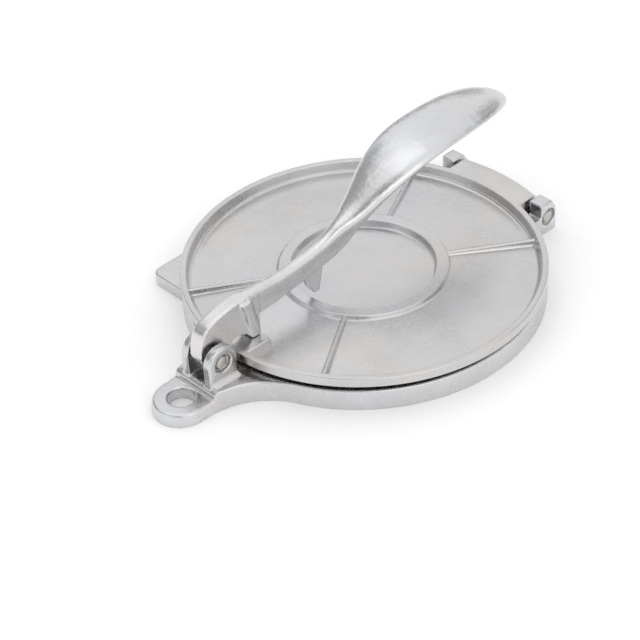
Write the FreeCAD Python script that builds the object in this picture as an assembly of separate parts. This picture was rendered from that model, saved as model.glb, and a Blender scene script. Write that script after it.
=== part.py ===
import FreeCAD, Part
import math
import os

from FreeCAD import Vector

# Sizes in millimetres. Places are first given in the press frame: zero at the middle of the
# discs on the table, +X right, +Y from the hanging eye to the rear hinge, +Z up.

# Base casting
base_radius = 104.8
base_height = 12.1
base_draft = 1.3
base_web = 4.6
skirt_wall = 5.8
under_ring_radius = 42.0
under_ring_wall = 4.0
under_rib_width = 3.6
under_rib_count = 6
table_gap = 0.6

# Tongue with the hanging eye
tongue_half_width = 16.7
tongue_straight = 3.62
eye_overhang = 35.0
eye_hole_radius = 7.8
eye_height = 7.7
sill_overhang = 24.8
sill_slope_run = 2.0
sill_step = 2.4
eye_edge_round = 1.4

# Clevis on the tongue
pivot_overhang = 13.0
pivot_rise = 12.3
ear_radius = 10.3
ear_thickness = 5.5
ear_play = 1.8
ear_round = 1.5
ear_root_flare = 3.2
ear_root_rise = 4.4

# Side tab
tab_side_inset = 7.8
tab_front_inset = 27.0
tab_length = 37.0
tab_width = 41.8
tab_height = 8.0
tab_corner_round = 5.5

# Rear hinge lugs
hinge_overhang = 9.0
hinge_drop = 1.7
lug_width = 9.9
lug_gap = 1.9
lug_root_inset = 8.3
lug_front_reach = 6.5
lug_rear_reach = 6.4
lug_rise = 8.7
lug_chamfer_run = 3.4
lug_chamfer_drop = 5.6
lug_round = 0.9

# Pins and their holes
pin_radius = 4.0
pin_chamfer = 0.5
pin_recess = 0.3
seat_clearance = 0.02
running_clearance = 0.05
counterbore_radius = 5.5
counterbore_depth = 2.6
hinge_pin_grip = 14.0

# Top plate
plate_overhang = 0.2
plate_height = 8.0
plate_gap = 0.2
plate_tilt = 0.52
plate_edge_round = 0.7
groove_width = 3.5
groove_height = 2.2
rim_width = 3.6
rim_draft = 1.8
dish_depth = 5.6
dish_fillet = 2.2
field_rise = 1.6
field_fall = 0.5
ring_inner_radius = 41.8
ring_width = 6.6
ring_drop = 1.5
ring_draft = 1.2
ring_round = 0.6
rib_width = 2.8
rib_inner_drop = 0.4
rib_outer_drop = 1.2
rib_angles = (57.0, 117.5, 236.0, 302.5)
pad_half_width = 11.4
pad_front_reach = 10.6
pad_rear_reach = 0.4
pad_drop = 1.0
pad_round = 1.0
flange_half_width = 28.4
flange_rear_reach = 4.2
barrel_radius = 7.6
flange_lift = 0.5

# Lever
lever_tip_reach = 115.4
lever_rise = 57.6
leaf_half_width = 19.8
leaf_crown = 4.9
leaf_belly = 3.6
arm_half_width = 4.0
arm_half_height = 7.2
neck_half_width = 4.5
knuckle_radius = 9.4
knuckle_under = 6.4
heel_front = 27.4
heel_rear = 34.6
heel_gap = 0.3
heel_half_width = 6.8
heel_foot_half_width = 5.2
heel_lean = 6.4
heel_round = 1.8
heel_top = 23.6
stub_inset = 39.8
stub_length = 7.6
stub_thickness = 3.6
stub_drop = 13.0
stub_lean = 4.6

overrun = 30.0

# The neck's outline round the pin. Rows in front are shares of the knuckle's radius and of
# the heel's top. Those below and behind are shares of the knuckle's own sizes.
neck_front_shares = (
    (-1.00, 0.15),
    (-0.95, 0.38),
    (-0.79, 0.62),
    (-0.53, 0.80),
    (-0.06, 0.92),
    (0.87, 1.03),
)
knuckle_under_shares = ((0.62, 0.72), (-0.72, 0.36))
knuckle_rear_shares = ((1.28, 0.22), (1.06, 0.11))
arch_share = 0.74
arch_rise_share = 0.18

# Stations of the arm and leaf, from the pivot to the tip. Each row holds the place along the
# reach, the rise of the centre line, the half width, the height above and below the line,
# and how square the section is.
arm_station_shares = (
    (0.062, 0.300, 1.00, 1.00, 1.00, 4.6),
    (0.110, 0.298, 1.00, 1.14, 1.10, 4.6),
    (0.165, 0.290, 1.00, 1.16, 1.14, 4.6),
    (0.232, 0.294, 1.00, 1.00, 1.00, 4.4),
    (0.290, 0.318, 1.00, 0.96, 0.96, 4.2),
    (0.348, 0.348, 1.00, 0.98, 0.98, 4.0),
    (0.396, 0.394, 1.10, 1.04, 1.04, 3.6),
    (0.434, 0.468, 1.46, 1.04, 1.02, 3.0),
)
leaf_station_shares = (
    (0.476, 0.580, 0.450, 1.14, 1.36, 2.7),
    (0.500, 0.650, 0.535, 1.00, 1.20, 2.6),
    (0.540, 0.764, 0.690, 0.96, 1.06, 2.5),
    (0.582, 0.862, 0.830, 0.96, 1.00, 2.4),
    (0.630, 0.944, 0.935, 0.98, 1.00, 2.4),
    (0.692, 1.002, 0.995, 1.00, 1.00, 2.4),
    (0.770, 1.024, 1.000, 1.00, 1.00, 2.4),
    (0.848, 1.026, 0.955, 0.96, 1.00, 2.4),
    (0.910, 1.010, 0.835, 0.88, 0.94, 2.3),
    (0.954, 0.986, 0.655, 0.76, 0.80, 2.2),
    (0.982, 0.960, 0.440, 0.58, 0.62, 2.1),
    (0.996, 0.942, 0.200, 0.32, 0.36, 2.0),
)
section_points = 16

# Worked out from the sizes above
eye_offset = base_radius + eye_overhang
blend_start = eye_offset - tongue_straight
tongue_blend = ((blend_start ** 2 + tongue_half_width ** 2 - base_radius ** 2)
                / (2 * (base_radius - tongue_half_width)))
sill_offset = base_radius + sill_overhang
lever_pivot_offset = base_radius + pivot_overhang
lever_pivot_height = base_height + pivot_rise
tab_reach_x = base_radius - tab_side_inset
tab_reach_y = base_radius - tab_front_inset
tab_root_x = tab_reach_x - tab_length
tab_root_y = tab_reach_y - tab_width
hinge_offset = base_radius + hinge_overhang
hinge_height = base_height - hinge_drop
lug_root = base_radius - lug_root_inset
lug_front = hinge_offset - lug_front_reach
lug_rear = hinge_offset + lug_rear_reach
lug_height = base_height + lug_rise
plate_radius = base_radius + plate_overhang
press_face_radius = plate_radius - groove_width
ring_outer_radius = ring_inner_radius + ring_width
flange_rear_radius = hinge_offset + flange_rear_reach
pad_front = lever_pivot_offset - heel_front + pad_front_reach
pad_rear = lever_pivot_offset - heel_rear - pad_rear_reach
lever_reach = lever_pivot_offset + lever_tip_reach
stub_offset = lever_pivot_offset - stub_inset
ear_gap = 2 * (neck_half_width + ear_play)
ear_outer = ear_gap / 2 + ear_thickness
lug_inner = flange_half_width + lug_gap
lug_outer = lug_inner + lug_width
plate_floor = base_height + plate_gap
dish_floor = plate_height - dish_depth
ring_top = plate_height - ring_drop
eye_reach = eye_offset + tongue_half_width
centre_shift = (eye_reach - max(lug_rear, lever_tip_reach)) / 2


def side(y, z, x=0):
    return Vector(x, y, z)


def line(start, end):
    return Part.LineSegment(start, end).toShape()


def arc(start, middle, end):
    return Part.Arc(start, middle, end).toShape()


def face_of(edges):
    return Part.Face(Part.Wire(edges))


def polygon_edges(points):
    return [line(a, b) for a, b in zip(points, points[1:] + points[:1])]


def across(face, half_width):
    """Extrude a face drawn at x = 0 to both sides of the middle plane."""
    moved = face.copy()
    moved.translate(Vector(-half_width, 0, 0))
    return moved.extrude(Vector(2 * half_width, 0, 0))


def x_cylinder(radius, x_from, x_to, y, z):
    return Part.makeCylinder(radius, x_to - x_from, side(y, z, x_from), Vector(1, 0, 0))


def spun(edges):
    return face_of(edges).revolve(Vector(), Vector(0, 0, 1), 360)


def edges_where(shape, test):
    return [edge for edge in shape.Edges if test(edge)]


def level(edge, z):
    box = edge.BoundBox
    return abs(box.ZMin - z) + abs(box.ZMax - z) < running_clearance


def base_outline():
    """Disc and tongue in one tangent outline on the table."""
    centre_x = tongue_half_width + tongue_blend
    centre_y = -math.sqrt((base_radius + tongue_blend) ** 2 - centre_x ** 2)
    centre = Vector(centre_x, centre_y, 0)
    on_disc = centre * (base_radius / (base_radius + tongue_blend))
    on_side = Vector(tongue_half_width, centre_y, 0)
    bisector = ((on_disc - centre).normalize() + (on_side - centre).normalize()).normalize()
    middle = centre + bisector * tongue_blend

    def mirrored(point):
        return Vector(-point.x, point.y, point.z)

    eye_side = Vector(tongue_half_width, -eye_offset, 0)
    eye_front = Vector(0, -eye_reach, 0)
    return [
        arc(mirrored(eye_side), eye_front, eye_side),
        line(eye_side, on_side),
        arc(on_side, middle, on_disc),
        arc(on_disc, Vector(0, base_radius, 0), mirrored(on_disc)),
        arc(mirrored(on_disc), mirrored(middle), mirrored(on_side)),
        line(mirrored(on_side), mirrored(eye_side)),
    ]


def base_body():
    foot = Part.Wire(base_outline())
    top = Part.Face(foot).makeOffset2D(-base_draft).OuterWire
    top.translate(Vector(0, 0, base_height))
    return Part.makeLoft([foot, top], True, True)


def sill_cut():
    """Everything over the eye, in front of the step that carries the clevis."""
    width = 2 * tongue_half_width
    points = [
        side(-sill_offset - overrun, eye_height),
        side(-sill_offset, eye_height),
        side(-sill_offset, eye_height + sill_step),
        side(-sill_offset + sill_slope_run, base_height),
        side(-sill_offset + sill_slope_run, base_height + overrun),
        side(-sill_offset - overrun, base_height + overrun),
    ]
    return across(face_of(polygon_edges(points)), width)


def ear(x_from, x_to):
    """One arched ear of the clevis, with its foot spread a little where it meets the tongue."""
    y = -lever_pivot_offset
    z = lever_pivot_height
    foot = base_height / 2
    edges = [
        line(side(y - ear_radius, foot), side(y + ear_radius, foot)),
        line(side(y + ear_radius, foot), side(y + ear_radius, z)),
        arc(side(y + ear_radius, z), side(y, z + ear_radius), side(y - ear_radius, z)),
        line(side(y - ear_radius, z), side(y - ear_radius, foot)),
    ]
    face = face_of(edges)
    face.translate(Vector(x_from, 0, 0))
    solid = face.extrude(Vector(x_to - x_from, 0, 0))
    outer = max(x_from, x_to, key=abs)

    def is_outer_arch(edge):
        box = edge.BoundBox
        at_face = abs(box.XMin - outer) + abs(box.XMax - outer) < running_clearance
        return at_face and box.ZMax > foot + running_clearance

    return solid.makeFillet(ear_round, edges_where(solid, is_outer_arch))


def ear_root(sign):
    """Hollow flare that spreads the ear's foot onto the tongue."""
    y_rear = -lever_pivot_offset + ear_radius
    y_front = -lever_pivot_offset - ear_radius + sill_slope_run
    inner = sign * (ear_outer - ear_root_flare)
    outer = sign * (ear_outer + ear_root_flare)
    low = base_height - ear_root_rise
    top = base_height + ear_root_rise
    bend = 1 - math.sqrt(0.5)
    middle = Vector(sign * (ear_outer + ear_root_flare * bend), y_front,
                    base_height + ear_root_rise * bend)
    face = face_of([
        line(Vector(inner, y_front, low), Vector(outer, y_front, low)),
        line(Vector(outer, y_front, low), Vector(outer, y_front, base_height)),
        arc(Vector(outer, y_front, base_height), middle,
            Vector(sign * ear_outer, y_front, top)),
        line(Vector(sign * ear_outer, y_front, top), Vector(inner, y_front, top)),
        line(Vector(inner, y_front, top), Vector(inner, y_front, low)),
    ])
    return face.extrude(Vector(0, y_rear - y_front, 0))


def side_tab():
    low = 0
    corner = Vector(-tab_reach_x, -tab_reach_y, low)
    along_x = corner + Vector(tab_corner_round, 0, 0)
    along_y = corner + Vector(0, tab_corner_round, 0)
    inset = tab_corner_round * (1 - math.sqrt(0.5))
    edges = [
        arc(along_y, corner + Vector(inset, inset, 0), along_x),
        line(along_x, Vector(-tab_root_x, -tab_reach_y, low)),
        line(Vector(-tab_root_x, -tab_reach_y, low), Vector(-tab_root_x, -tab_root_y, low)),
        line(Vector(-tab_root_x, -tab_root_y, low), Vector(-tab_reach_x, -tab_root_y, low)),
        line(Vector(-tab_reach_x, -tab_root_y, low), along_y),
    ]
    return face_of(edges).extrude(Vector(0, 0, tab_height))


def rear_lug(sign):
    """Block beside the plate's flange that holds one hinge pin."""
    points = [
        side(lug_root, 0),
        side(lug_rear, 0),
        side(lug_rear, lug_height - lug_chamfer_drop),
        side(lug_rear - lug_chamfer_run, lug_height),
        side(lug_front, lug_height),
        side(lug_front, base_height),
        side(lug_root, base_height),
    ]
    face = face_of(polygon_edges(points))
    start = min(sign * lug_inner, sign * lug_outer)
    face.translate(Vector(start, 0, 0))
    solid = face.extrude(Vector(lug_width, 0, 0))
    outer = sign * lug_outer

    def is_outer_edge(edge):
        box = edge.BoundBox
        at_face = abs(box.XMin - outer) + abs(box.XMax - outer) < running_clearance
        return at_face and box.ZMax > base_height and box.YMin > lug_front - running_clearance

    return solid.makeFillet(lug_round, edges_where(solid, is_outer_edge))


def under_pockets():
    """Space under the web, left open to the table between a ring and straight ribs."""
    depth = base_height - base_web
    outer = base_radius - skirt_wall
    start = Vector(0, 0, -overrun)
    height = depth + overrun
    annulus = Part.makeCylinder(outer, height, start)
    annulus = annulus.cut(Part.makeCylinder(under_ring_radius + under_ring_wall, height, start))
    step = 360 / under_rib_count
    for index in range(under_rib_count):
        rib = Part.makeBox(base_radius, under_rib_width, height + table_gap,
                           Vector(0, -under_rib_width / 2, -overrun))
        rib.rotate(Vector(), Vector(0, 0, 1), step * (index + 0.5))
        annulus = annulus.cut(rib)
    middle = Part.makeCylinder(under_ring_radius, height, start)
    return annulus.fuse(middle)


def rib_relief():
    """The ribs and the ring stop a little above the table, so only the skirt stands on it."""
    outer = base_radius - skirt_wall
    return Part.makeCylinder(outer, table_gap, Vector())


def pin_holes(solid, x_face, sign, y, z, x_inner):
    """Seat bore from the inner to the outer face, with a shallow counterbore outside."""
    low, high = sorted((x_inner, x_face + sign * overrun))
    solid = solid.cut(x_cylinder(pin_radius + seat_clearance, low, high, y, z))
    low, high = sorted((x_face - sign * counterbore_depth, x_face + sign * overrun))
    return solid.cut(x_cylinder(counterbore_radius, low, high, y, z))


def base_plate():
    solid = base_body().cut(sill_cut())
    solid = solid.cut(under_pockets()).cut(rib_relief())
    solid = solid.fuse(side_tab().cut(Part.makeCylinder(base_radius - skirt_wall, base_height)))
    half_gap = ear_gap / 2
    for sign in (1, -1):
        low, high = sorted((sign * half_gap, sign * ear_outer))
        solid = solid.fuse(ear(low, high)).fuse(ear_root(sign)).fuse(rear_lug(sign))
    solid = solid.removeSplitter()
    hole = Part.makeCylinder(eye_hole_radius, eye_height + 2 * overrun,
                             Vector(0, -eye_offset, -overrun))
    solid = solid.cut(hole)

    def is_eye_rim(edge):
        outside = not edge.isClosed()
        return outside and level(edge, eye_height) and edge.BoundBox.YMin < -eye_offset

    solid = solid.makeFillet(eye_edge_round, edges_where(solid, is_eye_rim))
    for sign in (1, -1):
        solid = pin_holes(solid, sign * ear_outer, sign, -lever_pivot_offset,
                          lever_pivot_height, sign * half_gap - sign * ear_thickness)
        solid = pin_holes(solid, sign * lug_outer, sign, hinge_offset, hinge_height,
                          sign * (lug_inner - lug_gap))
    return solid


def plate_profile():
    """Half section of the plate: groove, skirt, rolled rim, dish wall, ring and field."""
    r = plate_edge_round
    top = plate_height
    rim_in = plate_radius - rim_width
    wall_low = rim_in - rim_draft
    field = dish_floor
    field_in = dish_floor + field_rise
    field_out = dish_floor - field_fall
    diagonal = 1 - math.sqrt(0.5)
    c = ring_round

    def at(radius, z):
        return Vector(radius, 0, z)

    edges = [
        line(at(0, 0), at(press_face_radius, 0)),
        line(at(press_face_radius, 0), at(press_face_radius, groove_height)),
        line(at(press_face_radius, groove_height), at(plate_radius, groove_height)),
        line(at(plate_radius, groove_height), at(plate_radius, top - r)),
        arc(at(plate_radius, top - r),
            at(plate_radius - r * diagonal, top - r * diagonal),
            at(plate_radius - r, top)),
        line(at(plate_radius - r, top), at(rim_in + r, top)),
        arc(at(rim_in + r, top), at(rim_in + r * diagonal, top - r * diagonal),
            at(rim_in, top - r)),
        line(at(rim_in, top - r), at(wall_low, field_out + dish_fillet)),
        arc(at(wall_low, field_out + dish_fillet),
            at(wall_low - dish_fillet * diagonal, field_out + dish_fillet * diagonal),
            at(wall_low - dish_fillet, field_out)),
        line(at(wall_low - dish_fillet, field_out), at(ring_outer_radius + ring_draft, field_in)),
        line(at(ring_outer_radius + ring_draft, field_in), at(ring_outer_radius, ring_top - c)),
        arc(at(ring_outer_radius, ring_top - c),
            at(ring_outer_radius - c * diagonal, ring_top - c * diagonal),
            at(ring_outer_radius - c, ring_top)),
        line(at(ring_outer_radius - c, ring_top), at(ring_inner_radius + c, ring_top)),
        arc(at(ring_inner_radius + c, ring_top),
            at(ring_inner_radius + c * diagonal, ring_top - c * diagonal),
            at(ring_inner_radius, ring_top - c)),
        line(at(ring_inner_radius, ring_top - c), at(ring_inner_radius - ring_draft, field)),
        line(at(ring_inner_radius - ring_draft, field), at(0, field)),
        line(at(0, field), at(0, 0)),
    ]
    return edges


def plate_rib(angle):
    """Straight rib from the ring to the rim, standing taller as the field falls away."""
    inner = (ring_inner_radius + ring_outer_radius) / 2
    outer = plate_radius - rim_width
    start = dish_floor / 2
    high = ring_top - rib_inner_drop
    low = ring_top - rib_outer_drop
    points = [
        side(0, start, inner),
        side(0, start, outer),
        side(0, low, outer),
        side(0, high, inner),
    ]
    rib = face_of(polygon_edges(points)).extrude(Vector(0, rib_width, 0))
    rib.translate(Vector(0, -rib_width / 2, 0))
    rib.rotate(Vector(), Vector(0, 0, 1), angle)
    return rib


def heel_pad():
    pad = Part.makeBox(2 * pad_half_width, pad_front - pad_rear,
                       plate_height - pad_drop - dish_floor / 2,
                       Vector(-pad_half_width, -pad_front, dish_floor / 2))

    def is_rear_edge(edge):
        box = edge.BoundBox
        rear = box.YMin > -pad_rear - running_clearance
        side_edge = box.XMax - box.XMin < running_clearance and box.ZMin > dish_floor
        return (rear or side_edge) and box.ZMax > plate_height - pad_drop - running_clearance

    return pad.makeFillet(pad_round, edges_where(pad, is_rear_edge))


def hinge_flange():
    """Flat tail of the plate with a round rear edge, and the barrel under it for the pins."""
    z = hinge_height - plate_floor
    slab = Part.makeCylinder(flange_rear_radius, plate_height - flange_lift,
                             Vector(0, 0, flange_lift))
    tail = Part.makeBox(2 * flange_half_width, flange_rear_radius - lug_root,
                        plate_height, Vector(-flange_half_width, lug_root, 0))
    solid = slab.common(tail)
    barrel = x_cylinder(barrel_radius, -flange_half_width, flange_half_width, hinge_offset, z)
    solid = solid.fuse(barrel)
    inside = Part.makeCylinder(plate_radius - rim_width / 2, plate_height * 2,
                               Vector(0, 0, -plate_height / 2))
    return solid.cut(inside)


def top_plate():
    solid = spun(plate_profile())
    for angle in rib_angles:
        solid = solid.fuse(plate_rib(angle))
    solid = solid.fuse(heel_pad()).fuse(hinge_flange()).removeSplitter()
    solid.translate(Vector(0, 0, plate_floor))
    depth = hinge_pin_grip + lug_gap
    for sign in (1, -1):
        low, high = sorted((sign * (lug_inner - depth), sign * lug_outer))
        bore = x_cylinder(pin_radius + running_clearance, low, high, hinge_offset, hinge_height)
        solid = solid.cut(bore)
    solid.rotate(side(hinge_offset, hinge_height), Vector(1, 0, 0), -plate_tilt)
    return solid


def from_pivot(along, rise, x=0):
    return side(along - lever_pivot_offset, rise + lever_pivot_height, x)


def heel_bottom():
    """Height of the heel's sole over the pivot, a small gap above the tilted pad."""
    flat = plate_floor + plate_height - pad_drop
    reach = hinge_offset + lever_pivot_offset - heel_front
    lift = reach * math.tan(math.radians(plate_tilt))
    return flat + lift + heel_gap - lever_pivot_height


def neck():
    """Flat web from the knuckle round the pin to the heel, arched over the plate's rim."""
    sole = heel_bottom()
    front = [from_pivot(along * knuckle_radius, rise * heel_top)
             for along, rise in neck_front_shares]
    under = from_pivot(0, -knuckle_under)
    low_rear, low_front = [from_pivot(along * knuckle_radius, -drop * knuckle_under)
                           for along, drop in knuckle_under_shares]
    hollow, throat = [from_pivot(along * knuckle_radius, rise * knuckle_radius)
                      for along, rise in knuckle_rear_shares]
    arch_top = from_pivot(heel_front * arch_share, sole + heel_rear * arch_rise_share)
    edges = [
        arc(front[0], front[1], front[2]),
        arc(front[2], front[3], front[4]),
        arc(front[4], front[5], from_pivot(heel_front, heel_top + heel_round)),
        line(from_pivot(heel_front, heel_top + heel_round), from_pivot(heel_rear, heel_top)),
        line(from_pivot(heel_rear, heel_top), from_pivot(heel_rear, sole)),
        line(from_pivot(heel_rear, sole), from_pivot(heel_front, sole)),
        arc(from_pivot(heel_front, sole), arch_top, hollow),
        arc(hollow, throat, from_pivot(knuckle_radius, 0)),
        arc(from_pivot(knuckle_radius, 0), low_rear, under),
        arc(under, low_front, front[0]),
    ]
    return across(face_of(edges), neck_half_width)


def heel_section(centre_y, z, half_width, half_length):
    """Rounded rectangle at one level of the heel's column."""
    r = heel_round
    x = half_width
    y0 = centre_y - half_length
    y1 = centre_y + half_length
    d = r * (1 - math.sqrt(0.5))

    def at(px, py):
        return Vector(px, py, z)

    return Part.Wire([
        line(at(-x + r, y0), at(x - r, y0)),
        arc(at(x - r, y0), at(x - d, y0 + d), at(x, y0 + r)),
        line(at(x, y0 + r), at(x, y1 - r)),
        arc(at(x, y1 - r), at(x - d, y1 - d), at(x - r, y1)),
        line(at(x - r, y1), at(-x + r, y1)),
        arc(at(-x + r, y1), at(-x + d, y1 - d), at(-x, y1 - r)),
        line(at(-x, y1 - r), at(-x, y0 + r)),
        arc(at(-x, y0 + r), at(-x + d, y0 + d), at(-x + r, y0)),
    ])


def heel():
    """Column that presses on the pad, leaning back as it goes down and narrowing to its foot."""
    half_length = (heel_rear - heel_front) / 2
    middle = (heel_rear + heel_front) / 2 - lever_pivot_offset
    foot = heel_section(middle, lever_pivot_height + heel_bottom(), heel_foot_half_width,
                        half_length)
    head = heel_section(middle - heel_lean, lever_pivot_height + heel_top, heel_half_width,
                        half_length)
    return Part.makeLoft([foot, head], True, True)


def stations():
    rows = []
    for along, rise, width, above, below, square in arm_station_shares:
        rows.append((along * lever_reach, rise * lever_rise, width * arm_half_width,
                     above * arm_half_height, below * arm_half_height, square))
    for along, rise, width, above, below, square in leaf_station_shares:
        rows.append((along * lever_reach, rise * lever_rise, width * leaf_half_width,
                     above * leaf_crown, below * leaf_belly, square))
    return rows


def arm_section(before, row, after):
    """Closed section across the centre line, boxy on the arm and lens shaped on the leaf."""
    along, rise, half_width, above, below, square = row
    slope = math.atan2(after[1] - before[1], after[0] - before[0])
    centre = from_pivot(along, rise)
    up = Vector(0, -math.sin(slope), math.cos(slope))
    power = 2 / square
    points = []
    for index in range(section_points):
        turn = 2 * math.pi * (index + 0.5) / section_points
        cosine = math.cos(turn)
        sine = math.sin(turn)
        x = half_width * math.copysign(abs(cosine) ** power, cosine)
        height = above if sine > 0 else below
        lift = height * math.copysign(abs(sine) ** power, sine)
        points.append(centre + Vector(x, 0, 0) + up * lift)
    curve = Part.BSplineCurve()
    curve.interpolate(points, PeriodicFlag=True)
    return Part.Wire([curve.toShape()])


def arm_and_leaf():
    rows = stations()
    wires = []
    for index, row in enumerate(rows):
        before = rows[max(index - 1, 0)]
        after = rows[min(index + 1, len(rows) - 1)]
        wires.append(arm_section(before, row, after))
    return Part.makeLoft(wires, True, False)


def stub():
    """Short fin under the arm that stops it just above the plate's ring."""
    y = stub_offset
    top = arm_half_height * 2
    tip = top - arm_half_height / 2 - stub_drop
    points = [
        from_pivot(y - stub_length, top),
        from_pivot(y - stub_lean, tip + stub_drop / 2),
        from_pivot(y, tip),
        from_pivot(y + stub_length / 2, tip),
        from_pivot(y + stub_length, top),
    ]
    return across(face_of(polygon_edges(points)), stub_thickness / 2)


def lever():
    solid = neck().fuse(heel()).fuse(arm_and_leaf()).fuse(stub())
    bore = x_cylinder(pin_radius + running_clearance, -overrun, overrun,
                      -lever_pivot_offset, lever_pivot_height)
    return solid.cut(bore)


def pin(x_from, x_to, y, z):
    solid = x_cylinder(pin_radius, x_from, x_to, y, z)
    return solid.makeChamfer(pin_chamfer, edges_where(solid, lambda edge: edge.isClosed()))


def lever_pin():
    end = ear_outer - pin_recess
    return pin(-end, end, -lever_pivot_offset, lever_pivot_height)


def hinge_pin(sign):
    inner = lug_inner - lug_gap - hinge_pin_grip + pin_chamfer
    low, high = sorted((sign * inner, sign * (lug_outer - pin_recess)))
    return pin(low, high, hinge_offset, hinge_height)


def write(name, solid):
    solid = solid.copy()
    solid.translate(Vector(0, centre_shift, 0))
    solid.exportStep("parts/" + name + ".step")
    box = solid.BoundBox
    print(name, solid.isValid(), len(solid.Solids), round(solid.Volume), "box",
          [round(value, 2) for value in (box.XMin, box.XMax, box.YMin, box.YMax, box.ZMin, box.ZMax)])


os.makedirs("parts", exist_ok=True)
write("base_plate", base_plate())
write("top_plate", top_plate())
write("lever", lever())
write("lever_pin", lever_pin())
write("hinge_pin_right", hinge_pin(1))
write("hinge_pin_left", hinge_pin(-1))
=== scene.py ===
import math

import bmesh
import bpy
from mathutils import Matrix, Vector


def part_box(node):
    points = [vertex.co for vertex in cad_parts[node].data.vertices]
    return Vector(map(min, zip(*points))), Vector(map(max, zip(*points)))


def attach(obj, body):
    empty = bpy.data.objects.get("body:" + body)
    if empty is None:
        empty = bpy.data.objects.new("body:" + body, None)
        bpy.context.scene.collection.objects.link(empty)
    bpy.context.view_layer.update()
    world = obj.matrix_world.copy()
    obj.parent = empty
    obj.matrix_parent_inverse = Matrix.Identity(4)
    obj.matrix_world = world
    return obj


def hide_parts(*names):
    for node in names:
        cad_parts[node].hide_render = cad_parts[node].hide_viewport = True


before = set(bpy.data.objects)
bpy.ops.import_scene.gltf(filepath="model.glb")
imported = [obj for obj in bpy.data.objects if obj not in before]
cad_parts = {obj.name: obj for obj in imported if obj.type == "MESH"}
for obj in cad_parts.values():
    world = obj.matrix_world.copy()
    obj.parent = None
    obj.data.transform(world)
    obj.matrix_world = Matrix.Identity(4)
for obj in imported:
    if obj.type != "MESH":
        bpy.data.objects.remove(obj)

mm = 0.001
weld = 0.004 * mm                         # points closer than this are made one
hardFold = math.radians(50)               # a fold steeper than this is shaded as an edge
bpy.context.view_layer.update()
discMiddle = Vector((0, 18.15 * mm, 0))   # the discs' middle, behind the frame's origin


class Value:
    # one socket, ready to be used in sums
    def __init__(self, tree, socket):
        self.tree = tree
        self.socket = socket

    def maths(self, operation, first, second):
        return self.tree.node("ShaderNodeMath", {"operation": operation}, {0: first, 1: second})

    def __add__(self, other):
        return self.maths("ADD", self, other)

    def __radd__(self, other):
        return self.maths("ADD", other, self)

    def __sub__(self, other):
        return self.maths("SUBTRACT", self, other)

    def __rsub__(self, other):
        return self.maths("SUBTRACT", other, self)

    def __mul__(self, other):
        return self.maths("MULTIPLY", self, other)

    def __rmul__(self, other):
        return self.maths("MULTIPLY", other, self)

    def __pow__(self, other):
        return self.maths("POWER", self, other)

    def __rpow__(self, other):
        return self.maths("POWER", other, self)


def setStops(ramp, stops):
    # a new ramp has two elements, and every ramp here is a fade between two
    for element, (place, level) in zip(ramp.elements, stops):
        element.position = place
        element.color = (level, level, level, 1)


class Tree:
    # a node tree of any kind, with one method that adds a node to it
    def __init__(self, nodeTree):
        self.nodeTree = nodeTree
        self.nodeTree.nodes.clear()

    def node(self, kind, settings=None, inputs=None, output=0):
        made = self.nodeTree.nodes.new(kind)
        for key, value in (settings or {}).items():
            if key == "stops":
                setStops(made.color_ramp, value)
            else:
                setattr(made, key, value)
        for key, value in (inputs or {}).items():
            if isinstance(value, Value):
                self.nodeTree.links.new(value.socket, made.inputs[key])
            else:
                made.inputs[key].default_value = value
        return Value(self, made.outputs[output]) if len(made.outputs) else made

    def outputs(self, value, *names):
        made = value.socket.node
        return [Value(self, made.outputs[name]) for name in names]


def newMaterial(name):
    material = bpy.data.materials.new(name)
    material.use_nodes = True
    return material, Tree(material.node_tree)


# Finishes. The three castings are one alloy, and differ in how far each was tumbled and buffed.

castLooks = {
    "baseCast": {"colour": (0.65, 0.65, 0.656), "roughness": 0.28, "grain": 0.8,
                 "seed": 1.0},
    "plateCast": {"colour": (0.635, 0.632, 0.631), "roughness": 0.29, "grain": 0.55,
                  "seed": 5.0},
    "leverCast": {"colour": (0.71, 0.71, 0.717), "roughness": 0.28, "grain": 1.0,
                  "seed": 9.0},
}

# a noise is its scale and its detail, a fade is the two levels between which a mask grows
castSurface = {
    "noiseRoughness": 0.55,
    "tint": (17.0, 2.0), "tintFade": (0.35, 0.65),
    "warm": (1.02, 1.0, 0.98), "cool": (0.98, 0.99, 1.015),
    "clouds": (26.0, 4.0), "cloudShade": 0.16, "cloudRoughness": 0.12,
    "sand": (520.0, 2.0), "sandHeight": 0.024 * mm, "sandRoughness": 0.08,
    "ripple": (95.0, 2.0), "rippleHeight": 0.36 * mm,
    "wave": (26.0, 1.0), "waveHeight": 0.75 * mm,
    "pits": 210.0, "pitSize": 0.17, "pitPatches": (55.0, 1.0), "patchFade": (0.60, 0.68),
    "pitHeight": 0.12 * mm, "pitShade": 0.16, "pitRoughness": 0.2,
    "scratches": (60.0, 2.0), "scratchWays": ((1.0, 12.0, 1.0), (10.0, 1.0, 1.0)),
    "scratchRoughness": 0.09,
    "wornFade": (0.515, 0.62), "wornShine": 0.12, "wornRoughness": 0.08,
    # painted shade: the colour is darkened, and the roughness raised, in hollows and inner
    # corners where the surface is concave
    "hollowShadeFade": (0.36, 0.485), "paintedHollowShade": 0.22, "hollowShadeRoughness": 0.15,
}


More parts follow.
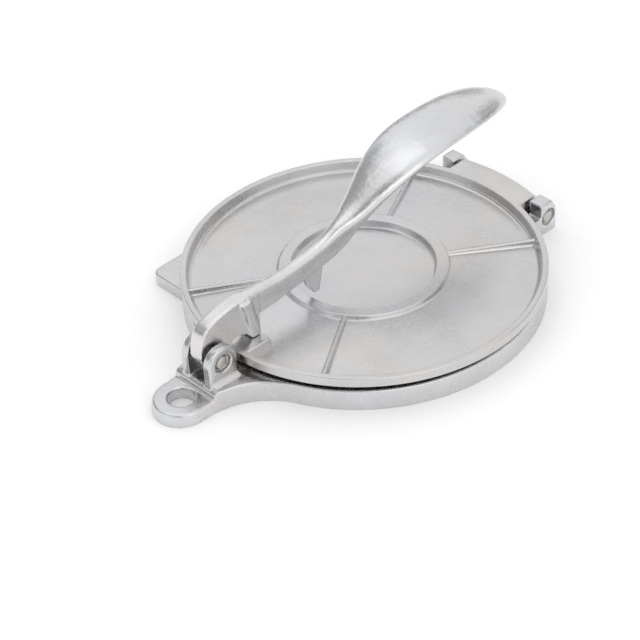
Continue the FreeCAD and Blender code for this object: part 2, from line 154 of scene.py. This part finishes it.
def castMetal(name, look):
    s = castSurface
    material, tree = newMaterial(name)
    place = tree.node("ShaderNodeTexCoord", output="Object")
    place = tree.node("ShaderNodeVectorMath", {"operation": "ADD"},
                      {0: place, 1: (look["seed"], look["seed"], 0)})

    def noise(scale, detail, stretch=None):
        at = place
        if stretch:
            at = tree.node("ShaderNodeMapping", {}, {"Vector": place, "Scale": stretch})
        return tree.node("ShaderNodeTexNoise", {}, {
            "Vector": at, "Scale": scale, "Detail": detail,
            "Roughness": s["noiseRoughness"]})

    def fade(value, ends, levels=(0, 1)):
        stops = tuple(zip(ends, levels))
        return tree.node("ShaderNodeValToRGB", {"stops": stops}, {0: value})

    clouds = noise(*s["clouds"])
    sand = noise(*s["sand"])
    pits = tree.node("ShaderNodeTexVoronoi", {"feature": "F1"},
                     {"Vector": place, "Scale": s["pits"]}, output="Distance")
    pitMask = fade(pits, (0.0, s["pitSize"]), (1, 0))
    pitMask = pitMask * fade(noise(*s["pitPatches"]), s["patchFade"])   # in patches only
    streaks = (noise(*s["scratches"], s["scratchWays"][0])
               + noise(*s["scratches"], s["scratchWays"][1]))
    warm = tuple(c * k for c, k in zip(look["colour"], s["warm"])) + (1,)
    cool = tuple(c * k for c, k in zip(look["colour"], s["cool"])) + (1,)
    tint = tree.node("ShaderNodeMix", {"data_type": "RGBA"}, {
        0: fade(noise(*s["tint"]), s["tintFade"]),
        6: cool, 7: warm}, output=2)              # 6 and 7 are this node's two colours
    corner = tree.node("ShaderNodeNewGeometry", output="Pointiness")
    worn = fade(corner, s["wornFade"])
    # painted shade in creases and inner corners, found where the pointiness is low
    hollowShade = fade(corner, s["hollowShadeFade"], (1, 0))

    # a noise swings round 0.5, and the two streaks together round 1; the hollow term darkens
    # creases as painted shade
    shade = (1 + (clouds - 0.5) * (2 * s["cloudShade"]) - pitMask * s["pitShade"]
             + worn * s["wornShine"] - hollowShade * s["paintedHollowShade"])
    colour = tree.node("ShaderNodeVectorMath", {"operation": "SCALE"},
                       {0: tint, "Scale": shade})
    rough = (look["roughness"] + (clouds - 0.5) * s["cloudRoughness"]
             + (sand - 0.5) * s["sandRoughness"] + (streaks - 1) * s["scratchRoughness"]
             + pitMask * s["pitRoughness"] - worn * s["wornRoughness"]
             + hollowShade * s["hollowShadeRoughness"])
    relief = (sand * s["sandHeight"] + noise(*s["ripple"]) * s["rippleHeight"]
              + noise(*s["wave"]) * s["waveHeight"]) * look["grain"]
    relief = relief - pitMask * s["pitHeight"]
    bump = tree.node("ShaderNodeBump", {}, {"Strength": 1.0, "Distance": 1.0,
                                            "Height": relief})
    shader = tree.node("ShaderNodeBsdfPrincipled", {}, {
        "Base Color": colour, "Metallic": 1.0, "Roughness": rough, "Normal": bump})
    tree.node("ShaderNodeOutputMaterial", {}, {"Surface": shader})
    return material


steelLook = {"colour": (0.56, 0.54, 0.51, 1), "roughness": 0.42, "roughnessSwing": 0.3,
             "marks": 420.0, "markDetail": 3.0, "hammer": 900.0, "hammerShare": 0.6,
             "relief": 0.1 * mm, "reliefStrength": 0.5}


def pinMetal(name):
    s = steelLook
    material, tree = newMaterial(name)
    place = tree.node("ShaderNodeTexCoord", output="Object")
    marks = tree.node("ShaderNodeTexNoise", {}, {"Vector": place, "Scale": s["marks"],
                                                 "Detail": s["markDetail"]})
    hammer = tree.node("ShaderNodeTexVoronoi", {"feature": "SMOOTH_F1"},
                       {"Vector": place, "Scale": s["hammer"]})
    bump = tree.node("ShaderNodeBump", {}, {
        "Strength": s["reliefStrength"], "Distance": s["relief"],
        "Height": marks + hammer * s["hammerShare"]})
    shader = tree.node("ShaderNodeBsdfPrincipled", {}, {
        "Base Color": s["colour"], "Metallic": 1.0,
        "Roughness": s["roughness"] + (marks - 0.5) * s["roughnessSwing"], "Normal": bump})
    tree.node("ShaderNodeOutputMaterial", {}, {"Surface": shader})
    return material


# Meshes and modifiers

def newPiece(name, points=(), edges=(), faces=()):
    mesh = bpy.data.meshes.new(name)
    mesh.from_pydata([tuple(p) for p in points], edges, faces)
    piece = bpy.data.objects.new(name, mesh)
    bpy.context.scene.collection.objects.link(piece)
    return piece


def bake(piece):
    bpy.context.view_layer.update()
    graph = bpy.context.evaluated_depsgraph_get()
    mesh = bpy.data.meshes.new_from_object(piece.evaluated_get(graph))
    piece.modifiers.clear()
    piece.data = mesh


def finishMesh(piece, material, move=None):
    work = bmesh.new()
    work.from_mesh(piece.data)
    bmesh.ops.remove_doubles(work, verts=work.verts, dist=weld)
    bmesh.ops.recalc_face_normals(work, faces=work.faces)
    if move:
        bmesh.ops.transform(work, matrix=move, verts=work.verts)
    for face in work.faces:
        face.smooth = True
    work.to_mesh(piece.data)
    work.free()
    piece.data.set_sharp_from_angle(angle=hardFold)
    piece.data.materials.clear()
    piece.data.materials.append(material)


def joinInto(piece, others):
    work = bmesh.new()
    for part in [piece] + others:
        work.from_mesh(part.data)
    work.to_mesh(piece.data)
    work.free()
    for other in others:
        bpy.data.objects.remove(other)


def layAcross(place):
    # takes a piece that was turned upright to its place, with its axis from left to right
    return Matrix.Translation(place) @ Matrix.Rotation(math.radians(90), 4, "Y")


def countTriangles(piece):
    return sum(len(polygon.vertices) - 2 for polygon in piece.data.polygons)


def claim(piece, body, slotName, *nodes):
    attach(piece, body)
    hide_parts(*nodes)
    print("made", piece.name, countTriangles(piece), "triangles")


# Geometry Nodes

def geometryTree(name, sizes):
    group = bpy.data.node_groups.new(name, "GeometryNodeTree")
    group.interface.new_socket("Geometry", in_out="INPUT", socket_type="NodeSocketGeometry")
    for label, kind in sizes.items():
        group.interface.new_socket(label, in_out="INPUT", socket_type="NodeSocket" + kind)
    group.interface.new_socket("Geometry", in_out="OUTPUT", socket_type="NodeSocketGeometry")
    tree = Tree(group)
    start = tree.nodeTree.nodes.new("NodeGroupInput")
    given = {socket.name: Value(tree, socket) for socket in start.outputs if socket.name}
    return tree, given


def closeTree(tree, geometry, material):
    geometry = tree.node("GeometryNodeRealizeInstances", {}, {"Geometry": geometry})
    geometry = tree.node("GeometryNodeSetMaterial", {}, {"Geometry": geometry,
                                                         "Material": material})
    end = tree.nodeTree.nodes.new("NodeGroupOutput")
    tree.nodeTree.links.new(geometry.socket, end.inputs[0])
    return tree.nodeTree


def grow(piece, group, values):
    modifier = piece.modifiers.new(group.name, "NODES")
    modifier.node_group = group
    for item in group.interface.items_tree:
        if item.item_type == "SOCKET" and item.in_out == "INPUT" and item.name in values:
            modifier[item.identifier] = values[item.name]
    bake(piece)


def turnedTree():
    # a half section, drawn in X and Z as a string of points, is spun round Z
    tree, given = geometryTree("turned", {"Turns": "Int", "Material": "Material"})
    count = tree.node("GeometryNodeAttributeDomainSize", {"component": "MESH"},
                      {"Geometry": given["Geometry"]}, output="Point Count")
    grid = tree.node("GeometryNodeMeshGrid", {}, {
        "Size X": 1.0, "Size Y": 1.0, "Vertices X": given["Turns"] + 1, "Vertices Y": count})
    place = tree.node("GeometryNodeInputPosition")
    across = tree.node("ShaderNodeSeparateXYZ", {}, {0: place})
    along = tree.outputs(across, "Y")[0]
    row = tree.node("ShaderNodeMath", {"operation": "ROUND"}, {0: (along + 0.5) * (count - 1)})
    point = tree.node("GeometryNodeSampleIndex", {"data_type": "FLOAT_VECTOR"}, {
        "Geometry": given["Geometry"], "Value": place, "Index": row})
    spun = tree.node("ShaderNodeVectorRotate", {"rotation_type": "Z_AXIS"}, {
        "Vector": point, "Angle": (across + 0.5) * (2 * math.pi)})
    body = tree.node("GeometryNodeSetPosition", {}, {"Geometry": grid, "Position": spun})
    body = tree.node("GeometryNodeMergeByDistance", {}, {"Geometry": body, "Distance": weld})
    return closeTree(tree, body, given["Material"])


beadPoints = {"Vertices X": 14, "Vertices Y": 11, "Vertices Z": 6}   # along, across and up


def ribTree():
    # one bead, highest along its middle and spread at its foot, repeated on every root point
    tree, given = geometryTree("ribs", {
        "Length": "Float", "Half Width": "Float", "Flare": "Float", "Crown": "Float",
        "Inner Top": "Float", "Outer Top": "Float", "Inner Foot": "Float",
        "Outer Foot": "Float", "Material": "Material"})
    block = tree.node("GeometryNodeMeshCube", {}, {"Size": (1.0, 1.0, 1.0), **beadPoints})
    x = tree.node("ShaderNodeSeparateXYZ", {}, {0: tree.node("GeometryNodeInputPosition")})
    y, z = tree.outputs(x, "Y", "Z")
    along = x + 0.5
    across = y * 2
    height = z + 0.5
    top = given["Inner Top"] + (given["Outer Top"] - given["Inner Top"]) * along
    foot = given["Inner Foot"] + (given["Outer Foot"] - given["Inner Foot"]) * along
    spread = (1 - height) ** 2
    crown = across * across * height * given["Crown"]
    bent = tree.node("ShaderNodeCombineXYZ", {}, {
        "X": along * given["Length"],
        "Y": across * (given["Half Width"] + given["Flare"] * spread),
        "Z": foot + (top - foot) * height - crown})
    bead = tree.node("GeometryNodeSetPosition", {}, {"Geometry": block, "Position": bent})
    root = tree.node("ShaderNodeSeparateXYZ", {}, {0: tree.node("GeometryNodeInputPosition")})
    turn = tree.node("ShaderNodeMath", {"operation": "ARCTAN2"},
                     {0: tree.outputs(root, "Y")[0], 1: root})
    beads = tree.node("GeometryNodeInstanceOnPoints", {}, {
        "Points": given["Geometry"], "Instance": bead,
        "Rotation": tree.node("ShaderNodeCombineXYZ", {}, {"Z": turn})})
    return closeTree(tree, beads, given["Material"])


turnedGroup = turnedTree()
ribGroup = ribTree()

# the distance of a flat's extra row from its round, in millimetres, and a round's step in degrees
turning = {"support": 0.35, "roundStep": 15}


def section(corners):
    # corners are (radius, height, round) in millimetres; each flat gets a row close to its ends
    support = turning["support"]
    points = []
    for index, (radius, height, bend) in enumerate(corners):
        here = Vector((radius, height))
        if bend == 0 or index in (0, len(corners) - 1):
            points.append(here)
            continue
        before = (Vector(corners[index - 1][:2]) - here).normalized()
        after = (Vector(corners[index + 1][:2]) - here).normalized()
        half = before.angle(after) / 2
        reach = bend / math.tan(half)
        middle = here + (before + after).normalized() * (bend / math.sin(half))
        start = here + before * reach - middle
        end = here + after * reach - middle
        turn = start.angle_signed(end)
        steps = max(2, round(abs(turn) / math.radians(turning["roundStep"])))
        points.append(here + before * (reach + support))
        for step in range(steps + 1):
            points.append(middle + Matrix.Rotation(-turn * step / steps, 2) @ start)
        points.append(here + after * (reach + support))
    return [(p.x * mm, 0, p.y * mm) for p in points]


def spin(name, corners, turns, material):
    points = section(corners)
    piece = newPiece(name, points, [(i, i + 1) for i in range(len(points) - 1)])
    grow(piece, turnedGroup, {"Turns": turns, "Material": material})
    return piece


# Top plate: a turned dish with a raised ring, straight ribs, a pad for the heel and a hinged
# tail. Its sizes are in millimetres from the middle of its lower face, its tilt in degrees.

plate = {"radius": 105.0, "height": 8.0, "floor": 12.3, "tilt": 0.52, "faceRadius": 101.5,
         "faceRound": 0.4, "faceDraft": 0.5, "grooveHeight": 2.2, "grooveRound": 0.5,
         "rimWidth": 3.6, "rimDraft": 1.8, "fieldInner": 4.0, "fieldOuter": 1.9,
         "dish": 2.4, "dishFillet": 1.3, "ringInner": 41.8, "ringOuter": 48.4,
         "ringTop": 6.5, "ringDraft": 1.2, "ringRound": 0.7, "ringFillet": 1.1,
         "edge": 0.7, "fillet": 2.2, "turns": 288}


def plateDish(material):
    p = plate
    rimInner = p["radius"] - p["rimWidth"]
    corners = [
        (0, 0, 0),
        (p["faceRadius"], 0, p["faceRound"]),
        (p["faceRadius"] + p["faceDraft"], p["grooveHeight"], p["faceRound"]),
        (p["radius"], p["grooveHeight"], p["grooveRound"]),
        (p["radius"], p["height"], p["edge"]),
        (rimInner, p["height"], p["edge"]),
        (rimInner - p["rimDraft"], p["fieldOuter"], p["fillet"]),
        (p["ringOuter"] + p["ringDraft"], p["fieldInner"], p["ringFillet"]),
        (p["ringOuter"], p["ringTop"], p["ringRound"]),
        (p["ringInner"], p["ringTop"], p["ringRound"]),
        (p["ringInner"] - p["ringDraft"], p["dish"], p["dishFillet"]),
        (0, p["dish"], 0),
    ]
    return spin("plateCasting", corners, p["turns"], material)


rib = {"angles": (57.0, 117.5, 236.0, 302.5), "halfWidth": 1.15, "flare": 1.5, "crown": 0.55,
       "innerDrop": 0.35, "outerDrop": 1.2, "foot": 0.5, "rimOverlap": 1.2}


def plateRibs(material):
    p = plate
    inner = (p["ringInner"] + p["ringOuter"]) / 2
    outer = p["radius"] - p["rimWidth"] + rib["rimOverlap"]
    roots = []
    for angle in rib["angles"]:
        turn = math.radians(angle)
        roots.append(Vector((math.cos(turn), math.sin(turn), 0)) * inner * mm)
    piece = newPiece("plateRibs", roots)
    grow(piece, ribGroup, {
        "Length": (outer - inner) * mm, "Half Width": rib["halfWidth"] * mm,
        "Flare": rib["flare"] * mm, "Crown": rib["crown"] * mm,
        "Inner Top": (p["ringTop"] - rib["innerDrop"]) * mm,
        "Outer Top": (p["ringTop"] - rib["outerDrop"]) * mm,
        "Inner Foot": (p["fieldInner"] - rib["foot"]) * mm,
        "Outer Foot": (p["fieldOuter"] - rib["foot"]) * mm, "Material": material})
    return piece


# an upright edge that folds by more than cornerFold, in radians, is rounded too
slabEdges = {"cornerFold": 0.7, "cornerSteps": 3, "topSteps": 4, "topReach": 0.01}


def fromLowest(face):
    # a bevel lists its faces in a chance order, and this lets them be sorted alike in each run
    loop = [vert.index for vert in face.verts]
    first = loop.index(min(loop))
    return loop[first:] + loop[:first]


def slab(name, outline, low, high, edgeRound, flare=0.0):
    # a block over a flat outline, with its corners and top edge rounded and its foot spread
    work = bmesh.new()
    face = work.faces.new([work.verts.new((x * mm, y * mm, high * mm)) for x, y in outline])
    middle = face.calc_center_median()
    made = bmesh.ops.extrude_face_region(work, geom=[face])
    for vert in [v for v in made["geom"] if isinstance(v, bmesh.types.BMVert)]:
        away = (vert.co - middle).normalized()
        vert.co += away * flare * mm
        vert.co.z = low * mm
    bmesh.ops.recalc_face_normals(work, faces=work.faces)
    upright = [e for e in work.edges if abs(e.verts[0].co.z - e.verts[1].co.z) > mm
               and e.calc_face_angle(0) > slabEdges["cornerFold"]]
    bmesh.ops.bevel(work, geom=upright, offset=edgeRound * mm, profile=0.5,
                    segments=slabEdges["cornerSteps"], affect="EDGES")
    nearTop = (high - slabEdges["topReach"]) * mm
    top = [e for e in work.edges if all(v.co.z > nearTop for v in e.verts)]
    bmesh.ops.bevel(work, geom=top, offset=edgeRound * mm, profile=0.5,
                    segments=slabEdges["topSteps"], affect="EDGES")
    bmesh.ops.triangulate(work, faces=[f for f in work.faces if len(f.verts) > 4])
    work.verts.index_update()
    piece = newPiece(name, [vert.co for vert in work.verts], [],
                     sorted(fromLowest(face) for face in work.faces))
    work.free()
    return piece


def roundedBox(x, yLow, yHigh, bend, steps):
    outline = []
    for sx, sy, start in ((1, 1, 0), (-1, 1, 90), (-1, -1, 180), (1, -1, 270)):
        centre = Vector((sx * (x - bend), yHigh - bend if sy > 0 else yLow + bend))
        for step in range(steps + 1):
            turn = math.radians(start + 90 * step / steps)
            outline.append((centre.x + bend * math.cos(turn),
                            centre.y + bend * math.sin(turn)))
    return outline


pad = {"halfWidth": 11.4, "front": -101.0, "rear": -82.8, "low": 1.3, "high": 7.0,
       "corner": 1.4, "cornerSteps": 4, "round": 0.8, "flare": 0.9}
tail = {"halfWidth": 28.4, "rearRadius": 118.0, "frontRadius": 103.3, "low": 0.5,
        "lift": 0.015,      # its top stands this much above the rim's, so that the two don't mix
        "round": 0.8, "barrel": 7.6, "barrelRound": 0.8, "barrelTurns": 64,
        "bore": 4.05, "boreDepth": 14.0, "mouthRound": 0.4, "floorRound": 0.2, "steps": 24}


def platePad():
    outline = roundedBox(pad["halfWidth"], pad["front"], pad["rear"], pad["corner"],
                         pad["cornerSteps"])
    return slab("platePad", outline, pad["low"], pad["high"], pad["round"], pad["flare"])


def plateTail():
    outline = []
    for radius, way in ((tail["rearRadius"], 1), (tail["frontRadius"], -1)):
        span = math.asin(tail["halfWidth"] / radius)
        for step in range(tail["steps"] + 1):
            turn = math.pi / 2 + way * span * (2 * step / tail["steps"] - 1)
            outline.append((radius * math.cos(turn), radius * math.sin(turn)))
    return slab("plateTail", outline, tail["low"], plate["height"] + tail["lift"],
                tail["round"])


def plateBarrel(material, axis):
    t = tail
    end = t["halfWidth"]
    floor = end - t["boreDepth"]
    corners = [
        (0, -floor, 0),
        (t["bore"], -floor, t["floorRound"]),
        (t["bore"], -end, t["mouthRound"]),
        (t["barrel"], -end, t["barrelRound"]),
        (t["barrel"], end, t["barrelRound"]),
        (t["bore"], end, t["mouthRound"]),
        (t["bore"], floor, t["floorRound"]),
        (0, floor, 0),
    ]
    piece = spin("plateBarrel", corners, t["barrelTurns"], material)
    piece.data.transform(layAcross(axis))
    return piece


def makePlate(material):
    hinge = sum(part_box("hinge_pin_right"), Vector()) / 2
    hinge.x = 0
    lift = Vector((0, 0, plate["floor"] * mm))
    piece = plateDish(material)
    joinInto(piece, [plateRibs(material), platePad(), plateTail(),
                     plateBarrel(material, hinge - discMiddle - lift)])
    seat = Matrix.Translation(discMiddle + lift)
    lean = Matrix.Rotation(math.radians(-plate["tilt"]), 4, "X")
    turn = Matrix.Translation(hinge) @ lean @ Matrix.Translation(-hinge)
    finishMesh(piece, material, turn @ seat)
    claim(piece, "top_plate", "plate_casting", "top_plate")


# Pins: shallow domed ends. The shoulder is counted in radii, and the drops in dome heights.

pinShape = {"dome": 0.55, "waist": 0.03, "shoulder": 0.72, "shoulderDrop": 0.3,
            "shoulderRound": 3.0, "edgeDrop": 2, "edgeRound": 0.5, "turns": 48}


def makePin(node, name, body, material):
    low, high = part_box(node)
    radius = (high.z - low.z) / 2 / mm - pinShape["waist"]
    half = (high.x - low.x) / 2 / mm
    shoulder = radius * pinShape["shoulder"]
    shoulderDrop = pinShape["dome"] * pinShape["shoulderDrop"]
    edgeDrop = pinShape["dome"] * pinShape["edgeDrop"]
    corners = [
        (0, -half, 0),
        (shoulder, -half + shoulderDrop, pinShape["shoulderRound"]),
        (radius, -half + edgeDrop, pinShape["edgeRound"]),
        (radius, half - edgeDrop, pinShape["edgeRound"]),
        (shoulder, half - shoulderDrop, pinShape["shoulderRound"]),
        (0, half, 0),
    ]
    piece = spin(name, corners, pinShape["turns"], material)
    finishMesh(piece, material, layAcross((low + high) / 2))
    claim(piece, body, "pin_steel", node)


# Base and lever: a copy of each solid, remeshed so that every edge is rounded as a casting's is

castRounding = {"weld": 0.002 * mm, "pull": 0.5}   # pull is each smoothing step's strength
baseCast = {"voxel": 0.62 * mm, "smoothing": 5, "faces": 190000}
leverCast = {"voxel": 0.5 * mm, "smoothing": 6, "faces": 150000,
             "neck": 60 * mm, "neckFade": 3, "neckSmoothing": 14}


def smoothOut(piece, steps, group=""):
    smooth = piece.modifiers.new("rounding", "SMOOTH")
    smooth.factor = castRounding["pull"]
    smooth.iterations = steps
    smooth.vertex_group = group
    bake(piece)


def softenFront(piece, look):
    # the neck and heel were filed rounder than the thin leaf
    front = min(vert.co.y for vert in piece.data.vertices)
    group = piece.vertex_groups.new(name="neck")
    for vert in piece.data.vertices:
        share = 1 - (vert.co.y - front) / look["neck"]
        if share > 0:
            group.add([vert.index], min(1, share * look["neckFade"]), "REPLACE")
    smoothOut(piece, look["neckSmoothing"], group.name)


def castCopy(node, name, body, slotName, material, look):
    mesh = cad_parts[node].data.copy()
    mesh.materials.clear()
    piece = bpy.data.objects.new(name, mesh)
    bpy.context.scene.collection.objects.link(piece)
    work = bmesh.new()
    work.from_mesh(mesh)
    bmesh.ops.remove_doubles(work, verts=work.verts, dist=castRounding["weld"])
    work.to_mesh(mesh)
    work.free()
    remesh = piece.modifiers.new("skin", "REMESH")
    remesh.mode = "VOXEL"
    remesh.voxel_size = look["voxel"]
    remesh.adaptivity = 0
    bake(piece)
    if "neck" in look:
        softenFront(piece, look)
    smoothOut(piece, look["smoothing"])
    thin = piece.modifiers.new("flats", "DECIMATE")
    thin.ratio = min(1, look["faces"] / countTriangles(piece))
    bake(piece)
    finishMesh(piece, material)
    claim(piece, body, slotName, node)


# Floor, light and camera

studio = {"floorSize": 6.0, "floorTone": 1.0, "world": 1.0}
lamps = {
    "keySoftbox": {"way": (0.70, -0.24, 0.66), "reach": 1.7, "size": (1.2, 0.8),
                   "power": 1.7},
    "topSoftbox": {"way": (-0.36, 0.06, 0.93), "reach": 1.7, "size": (0.9, 0.9),
                   "power": 0.9},
}

# grey cards that only show in the metal: where each stands, its size and its tone
cards = {
    "cardFront": {"azimuth": 243, "elevation": 36, "reach": 1.2, "size": (1.5, 0.66),
                  "tone": 0.42},
    "cardFrontEdge": {"azimuth": 236, "elevation": 20, "reach": 1.1, "size": (0.9, 0.16),
                      "tone": 0.04},
    "cardBack": {"azimuth": 4, "elevation": 36, "reach": 1.3, "size": (1.2, 0.46),
                 "tone": 0.52},
    "cardBackEdge": {"azimuth": 20, "elevation": 30, "reach": 1.2, "size": (0.8, 0.10),
                     "tone": 0.05},
    "cardOver": {"azimuth": 175, "elevation": 64, "reach": 1.2, "size": (0.7, 0.34),
                 "tone": 0.16},
    "cardLeft": {"azimuth": 303, "elevation": 16, "reach": 1.1, "size": (0.9, 0.16),
                 "tone": 0.06},
    "cardRight": {"azimuth": 150, "elevation": 20, "reach": 1.1, "size": (0.8, 0.26),
                  "tone": 0.12},
    "cardLow": {"azimuth": 42, "elevation": 9, "reach": 1.2, "size": (0.8, 0.20),
                "tone": 0.06},
}


def paper(name, tone):
    material, tree = newMaterial(name)
    shader = tree.node("ShaderNodeBsdfDiffuse", {}, {"Color": (tone, tone, tone, 1)})
    tree.node("ShaderNodeOutputMaterial", {}, {"Surface": shader})
    return material


def addFloor():
    bpy.ops.mesh.primitive_plane_add(size=studio["floorSize"])
    floor = bpy.context.object
    floor.name = "floor"
    floor.data.materials.append(paper("floorPaper", studio["floorTone"]))


def addCard(name, card):
    # azimuth is counted from +Y towards +X
    turn = math.radians(card["azimuth"])
    tip = math.radians(card["elevation"])
    way = Vector((math.sin(turn) * math.cos(tip), math.cos(turn) * math.cos(tip),
                  math.sin(tip)))
    x, y = (side / 2 for side in card["size"])
    piece = newPiece(name, [(-x, -y, 0), (x, -y, 0), (x, y, 0), (-x, y, 0)], [],
                     [(0, 1, 2, 3)])
    piece.data.transform(Matrix.Translation(way * card["reach"])
                         @ way.to_track_quat("Z", "Y").to_matrix().to_4x4())
    piece.data.materials.append(paper(name, card["tone"]))
    piece.visible_camera = False
    piece.visible_diffuse = False
    piece.visible_shadow = False


def addWorld():
    world = bpy.data.worlds.new("studio")
    bpy.context.scene.world = world
    world.use_nodes = True
    tree = Tree(world.node_tree)
    rays = tree.node("ShaderNodeLightPath", output="Is Camera Ray")
    glossy, through = tree.outputs(rays, "Is Glossy Ray", "Is Transmission Ray")
    seen = tree.node("ShaderNodeMath", {"operation": "MAXIMUM"}, {0: rays, 1: glossy})
    seen = tree.node("ShaderNodeMath", {"operation": "MAXIMUM"}, {0: seen, 1: through})
    lit = tree.node("ShaderNodeBackground", {}, {"Color": (1, 1, 1, 1),
                                                 "Strength": studio["world"]})
    white = tree.node("ShaderNodeBackground", {}, {"Color": (1, 1, 1, 1), "Strength": 1.0})
    both = tree.node("ShaderNodeMixShader", {}, {0: seen, 1: lit, 2: white})
    tree.node("ShaderNodeOutputWorld", {}, {"Surface": both})


def addLamp(name, look):
    lamp = bpy.data.lights.new(name, "AREA")
    lamp.shape = "RECTANGLE"
    lamp.size, lamp.size_y = look["size"]
    lamp.energy = look["power"]
    holder = bpy.data.objects.new(name, lamp)
    bpy.context.scene.collection.objects.link(holder)
    way = Vector(look["way"])
    holder.location = way.normalized() * look["reach"]
    holder.rotation_euler = (-way).to_track_quat("-Z", "Y").to_euler()


# azimuth, elevation and roll are in degrees, lens and sensor in millimetres
cameraPlace = {"azimuth": 48.15, "elevation": 38.62, "roll": -3.552, "lens": 123.746,
               "sensor": 36, "distance": 1257.7 * mm, "aside": -25.10 * mm,
               "up": -26.29 * mm, "height": 12.0 * mm, "near": 0.05, "far": 20}


def addCamera():
    c = cameraPlace
    turn = math.radians(c["azimuth"])
    tip = math.radians(c["elevation"])
    roll = math.radians(c["roll"])
    ahead = Vector((-math.sin(turn) * math.cos(tip), math.cos(turn) * math.cos(tip),
                    -math.sin(tip)))
    level = Vector((math.cos(turn), math.sin(turn), 0))
    over = level.cross(ahead)
    right = level * math.cos(roll) + over * math.sin(roll)
    up = over * math.cos(roll) - level * math.sin(roll)
    target = discMiddle + right * c["aside"] + up * c["up"] + Vector((0, 0, c["height"]))
    lens = bpy.data.cameras.new("camera")
    lens.lens = c["lens"]
    lens.sensor_width = c["sensor"]
    lens.clip_start = c["near"]
    lens.clip_end = c["far"]
    camera = bpy.data.objects.new("camera", lens)
    bpy.context.scene.collection.objects.link(camera)
    facing = Matrix((right, up, -ahead)).transposed().to_4x4()
    camera.matrix_world = Matrix.Translation(target - ahead * c["distance"]) @ facing
    bpy.context.scene.camera = camera


finishes = {name: castMetal(name, look) for name, look in castLooks.items()}
finishes["pinSteel"] = pinMetal("pinSteel")
print("finishes ready:", ", ".join(finishes))

castCopy("base_plate", "baseCasting", "base", "base_casting", finishes["baseCast"], baseCast)
makePlate(finishes["plateCast"])
castCopy("lever", "leverCasting", "lever", "lever_casting", finishes["leverCast"], leverCast)
makePin("lever_pin", "leverPin", "base", finishes["pinSteel"])
makePin("hinge_pin_right", "hingePinRight", "base", finishes["pinSteel"])
makePin("hinge_pin_left", "hingePinLeft", "base", finishes["pinSteel"])

addFloor()
addWorld()
for lampName, lampLook in lamps.items():
    addLamp(lampName, lampLook)
for cardName, card in cards.items():
    addCard(cardName, card)
print("studio ready:", len(lamps), "lamps and", len(cards), "cards")

addCamera()
bpy.context.scene.view_settings.view_transform = "Standard"
print("camera in place")
